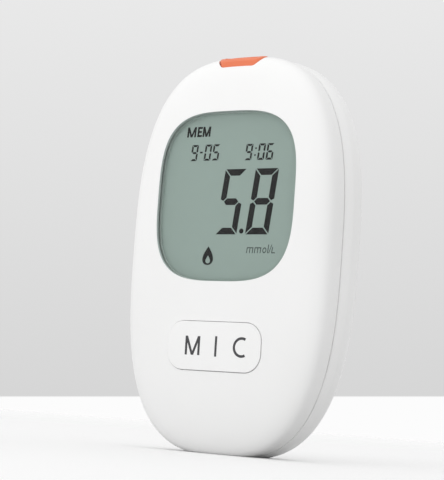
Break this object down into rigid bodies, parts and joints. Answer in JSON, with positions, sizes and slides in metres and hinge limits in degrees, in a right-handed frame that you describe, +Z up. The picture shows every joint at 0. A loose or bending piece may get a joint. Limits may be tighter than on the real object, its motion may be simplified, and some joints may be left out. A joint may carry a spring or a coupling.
{
  "type": "blood glucose meter",
  "caption": "Handheld egg-shaped blood glucose meter with a recessed display, a rocker key, a test strip port at the crown and a battery door on the back.",
  "frame": {"origin": "on the foot, under the middle of the bounding box", "axes": "+Z up along the meter's length to the strip port, -Y out of the display face, +X to the right of someone who looks at the display"},
  "size_m": [0.0594, 0.0216, 0.096],
  "materials": {
    "shell_white": "satin",
    "key_white": "satin",
    "port_orange": "satin",
    "clear_window": "gloss",
    "foam_tape": "matte",
    "polariser_film": "satin",
    "display_glass": "gloss",
    "reflector_film": "matte",
    "bracket_white": "matte",
    "zebra_rubber": "matte",
    "board_green": "satin",
    "chip_black": "matte",
    "crystal_can": "satin",
    "buzzer_black": "matte",
    "passive_tan": "matte",
    "connector_black": "matte",
    "contact_gold": "gloss",
    "mat_silicone": "matte",
    "pill_carbon": "matte",
    "cell_sleeve": "satin",
    "spring_nickel": "satin",
    "screw_zinc": "satin"
  },
  "bodies": {
    "casing": {"front_shell": "shell_white", "rear_shell": "shell_white", "display_window": "clear_window", "window_adhesive": "foam_tape", "lcd_polariser": "polariser_film", "lcd_front_glass": "display_glass", "lcd_rear_glass": "display_glass", "lcd_reflector": "reflector_film", "lcd_bracket": "bracket_white", "zebra_strip_upper": "zebra_rubber", "zebra_strip_lower": "zebra_rubber", "main_board": "board_green", "board_screws": "screw_zinc", "microcontroller": "chip_black", "memory_chip": "chip_black", "sensor_amplifier": "chip_black", "clock_crystal": "crystal_can", "buzzer": "buzzer_black", "board_passives": "passive_tan", "strip_port": "port_orange", "strip_connector": "connector_black", "strip_contacts": "contact_gold", "key_mat": "mat_silicone", "contact_pills": "pill_carbon", "battery_cell_left": "cell_sleeve", "battery_cell_right": "cell_sleeve", "battery_springs": "spring_nickel", "link_plate": "spring_nickel", "terminal_plates": "spring_nickel", "case_screws": "screw_zinc"},
    "key": {"rocker_key": "key_white"},
    "door": {"battery_door": "shell_white"}
  },
  "joints": [
    {"name": "key_rock", "type": "hinge", "parent": "casing", "child": "key", "pos_m": [0, -0.00727, 0.0252], "axis": [0, 0, 1], "range_deg": [-2, 2], "stiffness_Nm_per_rad": 0.46},
    {"name": "battery_door_swing", "type": "hinge", "parent": "casing", "child": "door", "pos_m": [0, 0.00903, 0.0359], "axis": [-1, 0, 0], "range_deg": [0, 70]}
  ]
}
